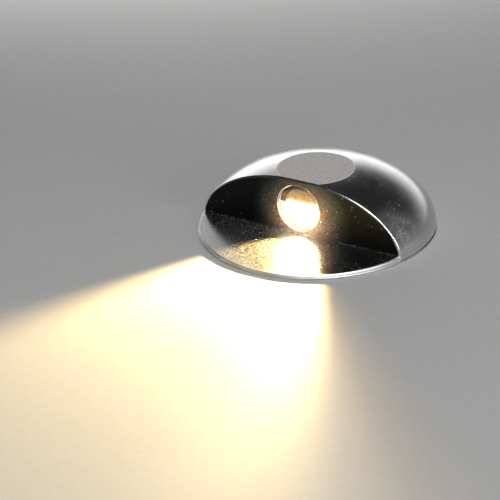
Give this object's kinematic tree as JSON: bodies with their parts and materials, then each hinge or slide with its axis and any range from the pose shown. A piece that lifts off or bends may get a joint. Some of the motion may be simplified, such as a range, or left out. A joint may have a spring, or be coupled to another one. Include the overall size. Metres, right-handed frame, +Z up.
{
  "type": "in-ground path light",
  "caption": "Small in-ground light: a polished dome with a one-way outlet and round window, on a sealed barrel that drops into a ground sleeve and turns to aim.",
  "frame": {"origin": "on the dome's axis at the paving surface, where the dome's rim rests", "axes": "+Z up along the dome's axis, the beam leaves the outlet towards -Y"},
  "size_m": [0.06, 0.06, 0.0928],
  "materials": {
    "polished_steel": "mirror polish, with a satin blasted flat on the crown",
    "clear_glass": "clear, polished",
    "black_rubber": "matt moulded rubber",
    "clear_silicone": "clear silicone ring, lit by the window",
    "smoked_plastic": "smoky amber, the light glows through it",
    "bright_reflector": "bright metallised cup",
    "led_phosphor": "warm white phosphor, lit",
    "led_silicone": "clear silicone dome, lit",
    "white_board": "white solder mask on a metal core",
    "plated_steel": "stainless screws, satin",
    "thermal_silicone": "soft grey pad",
    "anodised_aluminium": "turned and clear anodised",
    "black_acetal": "machined black plastic",
    "spring_steel": "phosphated spring steel",
    "green_board": "green solder mask",
    "ferrite": "dark ferrite, copper winding",
    "capacitor_can": "can with a dark sleeve",
    "black_epoxy": "moulded epoxy",
    "terminal_green": "moulded green plastic",
    "red_insulation": "soft insulation",
    "black_insulation": "soft insulation",
    "black_nylon": "moulded black nylon",
    "grey_sleeve": "moulded dark grey plastic"
  },
  "bodies": {
    "sleeve": {"ground_sleeve": "grey_sleeve"},
    "gasket": {"flange_gasket": "black_rubber"},
    "luminaire": {"dome_cover": "polished_steel", "window_lens": "clear_glass", "lens_seal": "clear_silicone", "cutoff_shield": "smoked_plastic", "reflector_cup": "bright_reflector", "led_package": "led_phosphor", "led_dome": "led_silicone", "led_board": "white_board", "board_screws": "plated_steel", "thermal_pad": "thermal_silicone", "heat_sink_block": "anodised_aluminium", "heat_sink_screws": "plated_steel", "barrel": "anodised_aluminium", "flange_seal": "black_rubber", "flange_screws": "plated_steel", "sleeve_orings": "black_rubber", "end_cap": "black_acetal", "end_cap_seal": "black_rubber", "end_cap_circlip": "spring_steel", "driver_board": "green_board", "driver_inductor": "ferrite", "driver_capacitor": "capacitor_can", "driver_chip": "black_epoxy", "led_terminal": "terminal_green", "supply_terminal": "terminal_green", "terminal_screws": "plated_steel", "lead_positive": "red_insulation", "lead_negative": "black_insulation", "gland_body": "black_nylon", "gland_washer": "black_rubber", "gland_locknut": "black_nylon", "gland_grommet": "black_rubber", "gland_nut": "black_nylon"}
  },
  "joints": [
    {"name": "lift_out", "type": "slide", "parent": "sleeve", "child": "gasket", "axis": [0, 0, 1], "range_m": [0, 0.07]},
    {"name": "aim_swivel", "type": "hinge", "parent": "gasket", "child": "luminaire", "pos_m": [0, 0, 0], "axis": [0, 0, 1], "range_deg": [-180, 180]}
  ]
}
